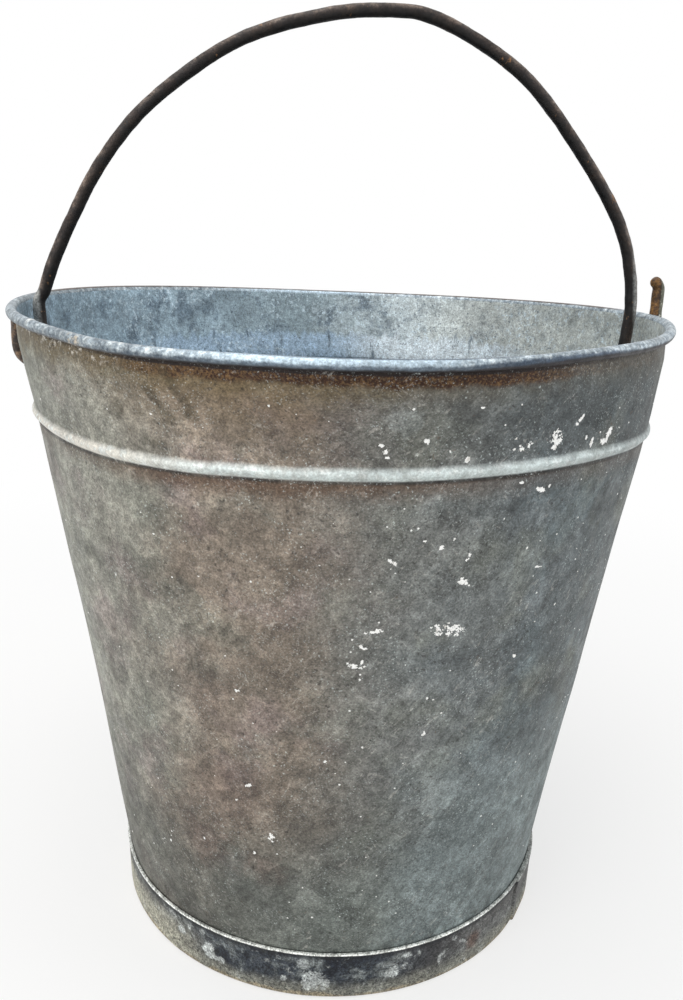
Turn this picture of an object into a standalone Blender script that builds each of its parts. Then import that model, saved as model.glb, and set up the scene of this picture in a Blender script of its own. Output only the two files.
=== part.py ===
# Galvanised sheet bucket: tapered body with a wired rim and a swaged bead, bottom, foot ring and iron bail.
# Metres, Z up, standing on z = 0. The bail's two holes lie on the X axis, and the front is at -Y.
import math

import bmesh
import bpy
from mathutils import Vector

# Clearances
seat_gap = 0.0003          # between pieces that seat on each other
hole_clearance = 0.0008    # round the bail's rod in its holes
hook_clearance = 0.0003    # between the right hook and the outside of the rolled rim

# Body
bucket_height = 0.3013     # floor to the top of the rolled rim
rim_radius = 0.1522        # outside of the rolled rim
roll_radius = 0.0022       # outside radius of the roll itself
sheet = 0.0007             # thickness of the body's sheet
base_radius = 0.1064       # outside of the body's taper, carried down to the floor
body_lift = 0.0045         # floor to the body's folded lower edge
hem_height = 0.0055        # how far the lower edge is folded up inside the bottom's flange
curl_end = math.radians(-128)
bead_height = 0.2563       # floor to the middle of the swaged bead
bead_half = 0.0028
bead_depth = 0.0019
seam_width = 0.011         # lap of the side seams, raised inside the body
seam_stop = 0.004          # the lap fades from this far under the middle of the roll
seam_fade = 0.0016
seam_step = 0.0003         # width of the step at each side of the lap
hem_play = 0.00075         # room between the hem's fold and the flange in it

# Bottom and foot ring
bottom_sheet = 0.0008
bottom_height = 0.0225     # floor to the upper face of the bottom
bottom_bend = 0.003        # outer bend from the bottom into its flange
bottom_sag = 0.0012        # the middle hangs this much lower than the edge
ring_height = 0.0250
ring_sheet = 0.0011
ring_draft = 0.0008        # the ring is narrower by this at the floor than at its top
ring_turn = 0.0045         # width of the edge that is turned in on the floor
ring_bend = 0.0018
lap_angle = math.radians(-40.5)
lap_fade = math.radians(34)
lap_mid = math.radians(14)   # one more step in the fading lap
lap_step = math.radians(0.5) # the lapped end's step, as wide as this

# Rim wire
wire_joint_angle = math.radians(213)
wire_joint_gap = 0.0006

# Bail
rod_radius = 0.0029
hole_height = 0.2730
bail_rise = 0.1576         # from the holes to the top of the arch
inner_bend = 0.0040
outer_bend = 0.0080
left_leg_gap = 0.0028      # from the rod to the inside of the rim, where the leg passes the roll
right_leg_gap = 0.0026
leg_reach = 0.0035         # from the leg's foot to the inside of the wall at the hole
left_hook_reach = 0.1528   # the short left hook is tucked in under the roll
left_hook_top = 0.2960
right_hook_top = 0.3190
tip_bend = 0.0050
tip_turn = math.radians(48)
left_end_short = 0.9       # the left rod stops this share of its radius under its top, to be rounded
# The worn ends: share of the rod's radius along the rod, share of it across
end_rounding = ((0.45, 0.9), (0.75, 0.66), (0.9, 0.4))

# Rest of the arch, bent by hand: share of the half span at the rim, share of the rise
arch_left = ((-0.983, 0.213), (-0.949, 0.300), (-0.887, 0.412), (-0.779, 0.579), (-0.614, 0.743), (-0.343, 0.905),
             (-0.060, 0.982))
arch_right = ((0.149, 1.000), (0.260, 0.987), (0.402, 0.932), (0.575, 0.833), (0.739, 0.676), (0.875, 0.511),
              (0.946, 0.397), (0.984, 0.295), (0.998, 0.225))

# How finely round things are divided, and where shading breaks
sharp_angle = math.radians(35)
rod_sharp_angle = math.radians(60)
angle_room = math.radians(1.5)  # an even step this close to a form's own step is left out
round_steps = 72
roll_steps = 10
fold_steps = 5
bead_steps = 6
rod_sides = 10
wire_sides = 6
arch_steps = 4
hole_sides = 24
bend_steps = 4
foot_steps = 6
hook_steps = 8
tip_steps = 5
dish_shares = (0.05, 0.5)  # where the bottom's dish has rings, as shares of its radius

# Worked out from the above
roll_center = rim_radius - roll_radius
roll_height = bucket_height - roll_radius
wall_top_radius = roll_center - roll_radius + sheet
rim_inner_radius = roll_center - roll_radius
taper = (wall_top_radius - base_radius) / roll_height
wire_radius = roll_radius - sheet - seat_gap
hem_fold = sheet + hem_play + seat_gap + bottom_sheet / 2 - sheet / 2
hem_low = body_lift + sheet + hem_fold


def wall_radius(z):
    """Outside of the plain taper at height z."""
    return base_radius + taper * z


def bead_swell(z):
    """How far the swaged bead pushes the wall out at height z."""
    away = abs(z - bead_height) / bead_half
    if away >= 1:
        return 0.0
    return bead_depth * 0.5 * (1 + math.cos(math.pi * away))


def arc(center, radius, start, stop, steps):
    """Points of an arc in a plane, from one angle to another."""
    points = []
    for i in range(steps + 1):
        angle = start + (stop - start) * i / steps
        points.append((center[0] + radius * math.cos(angle), center[1] + radius * math.sin(angle)))
    return points


def clear_scene():
    for obj in list(bpy.data.objects):
        bpy.data.objects.remove(obj)


def make_material(name, color, roughness, metallic):
    material = bpy.data.materials.new(name)
    material.use_nodes = True
    shader = material.node_tree.nodes["Principled BSDF"]
    shader.inputs["Base Color"].default_value = (*color, 1)
    shader.inputs["Roughness"].default_value = roughness
    shader.inputs["Metallic"].default_value = metallic
    return material


def finish_object(name, mesh_data, material, shade_angle=sharp_angle):
    """Turn a finished bmesh into a named object with its own material."""
    bmesh.ops.recalc_face_normals(mesh_data, faces=mesh_data.faces)
    for face in mesh_data.faces:
        face.smooth = True
    for edge in mesh_data.edges:
        if len(edge.link_faces) == 2 and edge.calc_face_angle() > shade_angle:
            edge.smooth = False
    mesh = bpy.data.meshes.new(name)
    mesh_data.to_mesh(mesh)
    mesh_data.free()
    mesh.materials.append(material)
    obj = bpy.data.objects.new(name, mesh)
    bpy.context.collection.objects.link(obj)
    return obj


def revolve(name, outline, angles, material, shift=None):
    """Turn a closed (radius, z) outline round Z; shift(point index, angle) moves a point outwards."""
    mesh_data = bmesh.new()
    rings = []
    for angle in angles:
        ring = []
        for index, (radius, z) in enumerate(outline):
            reach = radius
            if shift:
                reach += shift(index, angle)
            ring.append(mesh_data.verts.new((reach * math.cos(angle), reach * math.sin(angle), z)))
        rings.append(ring)
    count = len(outline)
    for i, ring in enumerate(rings):
        following = rings[(i + 1) % len(rings)]
        for j in range(count):
            k = (j + 1) % count
            mesh_data.faces.new((ring[j], ring[k], following[k], following[j]))
    return finish_object(name, mesh_data, material)


def angles_with(extra):
    """Even steps round the circle, plus the angles where a form starts or ends."""
    even = [2 * math.pi * i / round_steps for i in range(round_steps)]
    wanted = [angle % (2 * math.pi) for angle in extra]
    kept = []
    for angle in even:
        nearest = min([abs((angle - w + math.pi) % (2 * math.pi) - math.pi) for w in wanted] or [math.pi])
        if nearest > angle_room:
            kept.append(angle)
    return sorted(kept + wanted)


def body_outline():
    """Closed outline of the body's sheet, and which of its points are the wall's inner face."""
    bead_heights = [bead_height + bead_half * (2 * i / bead_steps - 1) for i in range(bead_steps + 1)]
    lap_top = roll_height - seam_stop
    heights = [hem_low] + bead_heights + [lap_top, lap_top + seam_fade]
    outside = [(wall_radius(z) + bead_swell(z), z) for z in heights]
    inside = [(radius - sheet, z) for radius, z in outside]
    # The lower edge is folded in and up, round the bottom's flange
    fold_center = (wall_radius(hem_low) - hem_fold, hem_low)
    inner_fold = hem_fold - sheet
    hem_top = hem_low + hem_height
    lean = taper * hem_height
    hem = [(fold_center[0] - hem_fold + lean, hem_top), (fold_center[0] - inner_fold + lean, hem_top)]
    under = arc(fold_center, hem_fold, 0, -math.pi, fold_steps)[1:]
    over = arc(fold_center, inner_fold, -math.pi, 0, fold_steps)[:-1]
    # The rim is curled outwards over the wire
    curl_center = (roll_center, roll_height)
    curl_out = arc(curl_center, roll_radius, math.pi, curl_end, roll_steps)
    curl_in = arc(curl_center, roll_radius - sheet, curl_end, math.pi, roll_steps)
    outline = over + inside + curl_out + curl_in + outside[::-1] + under + hem
    first = len(over)
    inner_points = set(range(first + 1, first + len(inside) - 1))
    return outline, inner_points


def build_body(material):
    outline, inner_points = body_outline()
    half = seam_width / 2 / rim_radius
    edge = seam_step / rim_radius
    seams = (0.0, math.pi)
    extra = []
    for seam in seams:
        extra += [seam - half - edge, seam - half, seam, seam + half, seam + half + edge]

    def seam_shift(index, angle):
        if index not in inner_points:
            return 0.0
        away = min(abs((angle - seam + math.pi) % (2 * math.pi) - math.pi) for seam in seams)
        return -sheet if away < half + edge / 2 else 0.0

    body = revolve("bucket_body", outline, angles_with(extra), material, seam_shift)
    cut_holes(body)
    return body


def cut_holes(body):
    """One round hole through each side, for the bail."""
    bpy.ops.mesh.primitive_cylinder_add(
        vertices=hole_sides,
        radius=rod_radius + hole_clearance,
        depth=2 * (rim_radius + rod_radius),
        location=(0, 0, hole_height),
        rotation=(0, math.pi / 2, 0),
    )
    cutter = bpy.context.object
    cutter.name = "hole_cutter"
    cutter.display_type = "WIRE"
    cutter.hide_render = True
    cut = body.modifiers.new("bail_holes", "BOOLEAN")
    cut.operation = "DIFFERENCE"
    cut.solver = "EXACT"
    cut.object = cutter


def build_rim_wire(material):
    """Round wire inside the curled rim, with its two ends butted."""
    half_gap = wire_joint_gap / 2 / roll_center
    start = wire_joint_angle + half_gap
    turn = 2 * math.pi - 2 * half_gap
    path = []
    for i in range(round_steps + 1):
        angle = start + turn * i / round_steps
        path.append(Vector((roll_center * math.cos(angle), roll_center * math.sin(angle), roll_height)))
    return sweep("rim_wire", path, [wire_radius] * len(path), wire_sides, Vector((0, 0, 1)), material)


def sweep(name, path, radii, sides, normal, material):
    """Round bar along a flat path; normal is square to the path's plane."""
    mesh_data = bmesh.new()
    rings = []
    for i, point in enumerate(path):
        before = path[max(i - 1, 0)]
        after = path[min(i + 1, len(path) - 1)]
        side = normal.cross((after - before).normalized())
        ring = []
        for j in range(sides):
            angle = 2 * math.pi * j / sides
            offset = side * math.cos(angle) + normal * math.sin(angle)
            ring.append(mesh_data.verts.new(point + offset * radii[i]))
        rings.append(ring)
    for ring, following in zip(rings, rings[1:]):
        for j in range(sides):
            k = (j + 1) % sides
            mesh_data.faces.new((ring[j], ring[k], following[k], following[j]))
    mesh_data.faces.new(rings[0][::-1])
    mesh_data.faces.new(rings[-1])
    return finish_object(name, mesh_data, material, rod_sharp_angle)


def build_bottom(material):
    """Pressed bottom: a slightly sagging disc with a flange turned down into the body's fold."""
    seat = sheet + seat_gap
    bend_height = bottom_height - bottom_bend
    bend_center = (wall_radius(bend_height) - seat - bottom_bend, bend_height)
    foot_outer = wall_radius(hem_low) - seat
    top = arc(bend_center, bottom_bend, math.pi / 2, 0, bend_steps)
    under = arc(bend_center, bottom_bend - bottom_sheet, 0, math.pi / 2, bend_steps)
    middle = bottom_height - bottom_sag
    dish = [(top[0][0] * share, middle + bottom_sag * share ** 2) for share in dish_shares]
    lower_dish = [(radius, z - bottom_sheet) for radius, z in reversed(dish)]
    flange = [(foot_outer, hem_low), (foot_outer - bottom_sheet, hem_low)]
    outline = dish + top + flange + under + lower_dish
    mesh_data = bmesh.new()
    rings = []
    for i in range(round_steps):
        angle = 2 * math.pi * i / round_steps
        turned = [(radius * math.cos(angle), radius * math.sin(angle), z) for radius, z in outline]
        rings.append([mesh_data.verts.new(point) for point in turned])
    for i, ring in enumerate(rings):
        following = rings[(i + 1) % round_steps]
        for j in range(len(outline) - 1):
            mesh_data.faces.new((ring[j], ring[j + 1], following[j + 1], following[j]))
    mesh_data.faces.new([ring[0] for ring in rings])
    mesh_data.faces.new([ring[-1] for ring in reversed(rings)])
    return finish_object("bottom_disc", mesh_data, material)


def build_foot_ring(material):
    """Hoop round the body's lower end, with its lower edge turned in and its ends lapped."""
    top_inner = wall_radius(ring_height) + seat_gap
    top_outer = top_inner + ring_sheet
    low_outer = top_outer - ring_draft
    bend_center = (low_outer - ring_bend, ring_bend)
    outer_points = arc(bend_center, ring_bend, 0, -math.pi / 2, bend_steps)
    inner_points = arc(bend_center, ring_bend - ring_sheet, -math.pi / 2, 0, bend_steps)
    turned = [(low_outer - ring_turn, 0.0), (low_outer - ring_turn, ring_sheet)]
    upper = [(top_inner, ring_height), (top_outer, ring_height)]
    outline = upper + outer_points + turned + inner_points
    # The outer end of the strip laps over the other end and fades into the hoop
    lapped = set(range(1, 1 + len(outer_points)))
    extra = [lap_angle - lap_step, lap_angle, lap_angle + lap_mid, lap_angle + lap_fade]

    def lap_shift(index, angle):
        if index not in lapped:
            return 0.0
        past = (angle - lap_angle + lap_step / 2) % (2 * math.pi) - lap_step / 2
        if not 0 <= round(past, 6) <= lap_fade:
            return 0.0
        return ring_sheet * 0.5 * (1 + math.cos(math.pi * past / lap_fade))

    return revolve("foot_ring", outline, angles_with(extra), material, lap_shift)


def smooth_run(points, steps):
    """Catmull-Rom curve through points, keeping the first and the last as guides only."""
    run = []
    for before, start, stop, after in zip(points, points[1:], points[2:], points[3:]):
        for i in range(steps):
            t = i / steps
            run.append(0.5 * (2 * start + (stop - before) * t + (2 * before - 5 * start + 4 * stop - after) * t ** 2
                              + (3 * start - before - 3 * stop + after) * t ** 3))
    run.append(points[-2])
    return run


def bail_end(side, hook, hook_top, turn):
    """From the leg's foot through the hole to the hook's tip, for side -1 or 1."""
    leg = wall_radius(hole_height) - sheet - leg_reach
    inner_center = (leg + inner_bend, hole_height + inner_bend)
    outer_center = (hook - outer_bend, hole_height + outer_bend)
    points = arc(inner_center, inner_bend, math.pi, math.pi * 3 / 2, foot_steps)
    points += arc(outer_center, outer_bend, math.pi * 3 / 2, math.pi * 2, hook_steps)
    points.append((hook, (outer_center[1] + hook_top) / 2))
    if turn:
        rise = rod_radius + tip_bend * math.sin(turn)
        tip_center = (hook - tip_bend, hook_top - rise)
        points += arc(tip_center, tip_bend, 0, turn, tip_steps)
    else:
        points.append((hook, hook_top - rod_radius * left_end_short))
    # The cut end is rounded over the last stretch
    last = Vector(points[-1])
    along = (last - Vector(points[-2])).normalized()
    radii = [1.0] * len(points)
    for reach, share in end_rounding:
        points.append(tuple(last + along * rod_radius * reach))
        radii.append(share)
    path = [Vector((side * x, 0, z - hole_height)) for x, z in points]
    return path, [rod_radius * share for share in radii]


def build_bail(material):
    """Iron rod bent by hand into an arch, with both ends hooked out through the holes."""
    left, left_radii = bail_end(-1, left_hook_reach, left_hook_top, 0)
    right, right_radii = bail_end(1, rim_radius + hook_clearance + rod_radius, right_hook_top, tip_turn)
    left_rim = Vector((left_leg_gap + rod_radius - rim_inner_radius, 0, roll_height - hole_height))
    right_rim = Vector((rim_inner_radius - right_leg_gap - rod_radius, 0, roll_height - hole_height))
    half_span = (right_rim.x - left_rim.x) / 2
    below_foot = Vector((0, 0, -inner_bend))
    guides = [left[0] + below_foot, left[0], left_rim]
    guides += [Vector((x * half_span, 0, z * bail_rise)) for x, z in arch_left + arch_right]
    guides += [right_rim, right[0], right[0] + below_foot]
    arch = smooth_run(guides, arch_steps)
    path = left[:0:-1] + arch + right[1:]
    radii = left_radii[:0:-1] + [rod_radius] * len(arch) + right_radii[1:]
    bail = sweep("bail", path, radii, rod_sides, Vector((0, 1, 0)), material)
    bail.location = (0, 0, hole_height)
    return bail


def main():
    clear_scene()
    zinc = make_material("weathered_zinc", (0.27, 0.28, 0.28), 0.55, 0.7)
    build_body(zinc)
    build_rim_wire(make_material("rim_wire_steel", (0.20, 0.19, 0.18), 0.5, 0.8))
    build_bottom(make_material("bottom_zinc", (0.33, 0.35, 0.37), 0.6, 0.7))
    build_foot_ring(make_material("foot_ring_zinc", (0.12, 0.13, 0.15), 0.6, 0.6))
    build_bail(make_material("rusty_iron", (0.075, 0.058, 0.050), 0.65, 0.5))


main()
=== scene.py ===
import math
import random

import bmesh
import bpy
from mathutils import Matrix, Vector, noise


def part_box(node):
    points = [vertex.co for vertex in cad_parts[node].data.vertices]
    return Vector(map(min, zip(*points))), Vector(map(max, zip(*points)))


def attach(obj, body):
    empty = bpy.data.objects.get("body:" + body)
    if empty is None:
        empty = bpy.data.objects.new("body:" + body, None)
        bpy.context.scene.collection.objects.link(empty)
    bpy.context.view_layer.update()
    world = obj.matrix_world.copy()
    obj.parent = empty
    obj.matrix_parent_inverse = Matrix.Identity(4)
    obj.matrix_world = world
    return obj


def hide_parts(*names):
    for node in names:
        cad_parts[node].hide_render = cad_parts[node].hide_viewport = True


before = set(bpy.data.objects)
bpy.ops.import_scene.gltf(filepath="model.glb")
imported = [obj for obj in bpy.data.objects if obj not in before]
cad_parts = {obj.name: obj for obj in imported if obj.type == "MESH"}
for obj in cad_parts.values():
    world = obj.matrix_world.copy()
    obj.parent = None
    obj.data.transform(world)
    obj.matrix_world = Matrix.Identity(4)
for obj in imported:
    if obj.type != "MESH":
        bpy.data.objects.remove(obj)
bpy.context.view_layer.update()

# Everything here is in metres and degrees; x runs through the bail's holes, -y is the front.
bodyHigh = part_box("bucket_body")[1]
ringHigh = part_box("foot_ring")[1]

bucket = {
    "sheet": 0.0007,
    "rollRadius": 0.0022,
    "baseRadius": 0.1064,          # outside of the taper, carried down to the floor
    "lift": 0.0045,                # floor to the folded lower edge
    "hemHeight": 0.0055,
    "hemPlay": 0.0003,
    "bottomSheet": 0.0008,
    "curlEnd": -128,
    "beadHeight": 0.2563,
    "beadHalf": 0.0029,
    "beadDepth": 0.0017,
    "seamWidth": 0.011,
    "seamLift": 0.0007,
    "holeHeight": 0.2730,
    "holeRadius": 0.0039,
    "jointAngle": 213,             # where the rim wire's ends meet under the roll
    "jointSwell": 0.00022,
    "aroundSteps": 320,
    "rowStep": 0.0075,
}

rimRadius = bodyHigh.y
rimTop = bodyHigh.z
rollCenter = rimRadius - bucket["rollRadius"]
rollHeight = rimTop - bucket["rollRadius"]
taper = (rollCenter - bucket["rollRadius"] + bucket["sheet"] - bucket["baseRadius"]) / rollHeight


def wallRadius(z):
    return bucket["baseRadius"] + taper * z


def smoothStep(low, high, x):
    t = min(max((x - low) / (high - low), 0.0), 1.0)
    return t * t * (3 - 2 * t)


def angleGap(a, b):
    return (a - b + 180) % 360 - 180


def arc(center, radius, start, stop, steps):
    points = []
    for i in range(steps + 1):
        a = math.radians(start + (stop - start) * i / steps)
        points.append((center[0] + radius * math.cos(a), center[1] + radius * math.sin(a)))
    return points


# Years of knocks: one function bends the whole bucket, so its pieces stay fitted
wear = {
    "lean": (0.0006, 0.0011),      # towards +x below the bead: at the foot, and more from there up
    "flare": 0.0014,               # the wall stands wider up to the roll
    "shoulder": 0.0002,            # and wider still above the bead, most at +x
    "footSpread": 0.0003,
    "beadTall": 0.013,
    # how far the bead runs above or below its own height: angle, millimetres
    "beadLift": (
        (0, -1.3), (15, -0.7), (40, -0.3), (90, 0.0), (150, 0.0), (180, 0.3), (192, 0.9), (204, 1.2),
        (212, 0.7), (220, -0.2), (228, -0.85), (236, -1.0), (245, -0.95), (250, -0.45), (258, -0.2),
        (266, 0.0), (275, 0.0), (284, 0.35), (294, 0.6), (303, 0.7), (311, 0.5), (318, 0.1),
        (326, -0.6), (335, -1.2), (348, -1.5),
    ),
    "oval": -0.0003,
    "ripple": 0.00026,
    # how far the rim stands above or below the new one: angle, millimetres
    "rimLift": (
        (0, 0.1), (15, -0.35), (30, -0.9), (45, -1.4), (60, -1.75), (75, -1.8), (90, -1.4), (105, -0.5),
        (120, 0.7), (135, 1.85), (150, 2.65), (165, 2.8), (180, 2.35), (195, 1.3), (208, 0.2), (220, -1.3),
        (230, -3.1), (240, -3.9), (255, -4.05), (270, -4.3), (280, -4.25), (290, -3.7), (300, -2.75),
        (310, -2.2), (320, -1.9), (332, -0.9), (346, 0.1),
    ),
    # angle, height, depth (inwards), width, tallness of each dent
    "dents": (
        (247, 0.285, 0.0010, 0.030, 0.016),
        (276, 0.272, 0.0006, 0.022, 0.016),
        (303, 0.276, 0.0008, 0.026, 0.018),
        (229, 0.150, 0.0009, 0.034, 0.040),
        (262, 0.095, 0.0007, 0.040, 0.022),
        (281, 0.104, -0.0004, 0.030, 0.006),
        (296, 0.180, 0.0008, 0.040, 0.050),
        (318, 0.110, 0.0007, 0.030, 0.040),
        (345, 0.210, 0.0010, 0.040, 0.045),
        (40, 0.160, 0.0013, 0.035, 0.040),
        (75, 0.230, 0.0009, 0.045, 0.030),
        (112, 0.120, 0.0012, 0.040, 0.050),
        (150, 0.200, 0.0009, 0.040, 0.035),
        (328, 0.012, 0.0014, 0.010, 0.010),
        (233, 0.014, 0.0007, 0.018, 0.012),
    ),
}


# Smooth closed curve through marks of (angle, millimetres)
def curveAt(marks, degrees):
    count = len(marks)
    degrees %= 360
    i = max(k for k in range(count) if marks[k][0] <= degrees)
    low, start = marks[i]
    stop = marks[(i + 1) % count][1]
    width = (marks[(i + 1) % count][0] - low) % 360
    widthBefore = (low - marks[i - 1][0]) % 360
    widthAfter = (marks[(i + 2) % count][0] - low - width) % 360
    t = (degrees - low) / width
    slopeStart = (stop - marks[i - 1][1]) / (width + widthBefore) * width
    slopeStop = (marks[(i + 2) % count][1] - start) / (width + widthAfter) * width
    value = start * (2 * t ** 3 - 3 * t ** 2 + 1) + stop * (3 * t ** 2 - 2 * t ** 3)
    value += slopeStart * (t ** 3 - 2 * t ** 2 + t) + slopeStop * (t ** 3 - t ** 2)
    return value / 1000


# Where a point of the new bucket lies on the old one
def weather(point):
    x, y, z = point
    r = math.hypot(x, y)
    a = math.atan2(y, x)
    shift = 0.0
    for angle, height, depth, width, tall in wear["dents"]:
        across = math.radians(angleGap(math.degrees(a), angle)) * r / width
        if abs(across) < 3:
            shift -= depth * math.exp(-across * across - ((z - height) / tall) ** 2)
    around = Vector((math.cos(a), math.sin(a), 0))
    shift += wear["ripple"] * noise.noise(around * 3.1 + Vector((0, 0, z * 22)))
    shift += wear["ripple"] * 0.4 * noise.noise(around * 9 + Vector((0, 0, z * 60 + 5)))
    shift += wear["oval"] * math.cos(2 * a) * smoothStep(0.18, 0.30, z)
    shift += wear["footSpread"] * smoothStep(0.07, 0.02, z) if z < 0.07 else 0.0
    wider = wear["flare"] * smoothStep(0.13, 0.25, z) * smoothStep(0.95, 0.25, math.sin(a))
    wider += wear["shoulder"] * (1 + math.cos(a)) * smoothStep(0.2565, 0.2605, z)
    shift += wider * smoothStep(0.299, 0.287, z)
    shift *= min(1.0, r / 0.09) ** 2
    lift = curveAt(wear["rimLift"], math.degrees(a)) * smoothStep(0.262, 0.298, z) * min(1.0, r / 0.09)
    nearBead = math.exp(-((z - bucket["beadHeight"]) / wear["beadTall"]) ** 2)
    if nearBead > 0.001:
        lift += curveAt(wear["beadLift"], math.degrees(a)) * nearBead
    atFoot, furtherUp = wear["lean"]
    lean = (atFoot + furtherUp * smoothStep(0.05, 0.14, z)) * (1 - smoothStep(0.240, 0.298, z))
    k = (r + shift) / max(r, 1e-9)
    return Vector((x * k + lean, y * k, z + lift))


# Steps round the circle, with the angles where a form starts or ends put in
def evenAngles(steps, extra=()):
    wanted = [a % 360 for a in extra]
    room = 360 / steps * 0.3
    kept = []
    for i in range(steps):
        a = 360 * i / steps
        if all(abs(angleGap(a, w)) > room for w in wanted):
            kept.append(a)
    return sorted(kept + wanted)


# Turns an outline of (radius, height) into a ring; an open outline is closed by two discs
def revolve(outline, angles, change=None, slots=None, openOutline=False, openRing=False):
    mesh = bmesh.new()
    rings = []
    for angle in angles:
        a = math.radians(angle)
        ring = []
        for index, (radius, z) in enumerate(outline):
            if change:
                radius, z = change(index, angle, radius, z)
            ring.append(mesh.verts.new((radius * math.cos(a), radius * math.sin(a), z)))
        rings.append(ring)
    count = len(outline)
    pairs = list(zip(rings, rings[1:]))
    if openRing:
        mesh.faces.new(rings[0])
        mesh.faces.new(rings[-1][::-1])
    else:
        pairs.append((rings[-1], rings[0]))
    for ring, after in pairs:
        for j in range(count - 1 if openOutline else count):
            k = (j + 1) % count
            face = mesh.faces.new((ring[j], ring[k], after[k], after[j]))
            if slots:
                face.material_index = slots[j]
    if openOutline:
        mesh.faces.new([ring[0] for ring in rings])
        mesh.faces.new([ring[-1] for ring in reversed(rings)])
    return mesh


# A mesh becomes a smooth piece that rides on its body
def finishMesh(name, mesh, materials, body, sharp=40):
    bmesh.ops.recalc_face_normals(mesh, faces=mesh.faces)
    limit = math.radians(sharp)
    for face in mesh.faces:
        face.smooth = True
    for edge in mesh.edges:
        if len(edge.link_faces) == 2 and edge.calc_face_angle() > limit:
            edge.smooth = False
    data = bpy.data.meshes.new(name)
    mesh.to_mesh(data)
    mesh.free()
    for material in materials:
        data.materials.append(material)
    piece = bpy.data.objects.new(name, data)
    bpy.context.collection.objects.link(piece)
    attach(piece, body)
    return piece


# Each point moves to where it is now; its new-bucket place is kept for the materials
def wearDown(piece):
    data = piece.data
    kept = data.attributes.new("newPlace", "FLOAT_VECTOR", "POINT")
    for i, vertex in enumerate(data.vertices):
        kept.data[i].vector = vertex.co
        vertex.co = weather(vertex.co)


# Materials: small node helpers, with colours written as they look on screen (0 to 255)
def tone(red, green, blue):
    values = []
    for v in (red, green, blue):
        v /= 255
        values.append(v / 12.92 if v <= 0.04045 else ((v + 0.055) / 1.055) ** 2.4)
    return (*values, 1.0)


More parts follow.
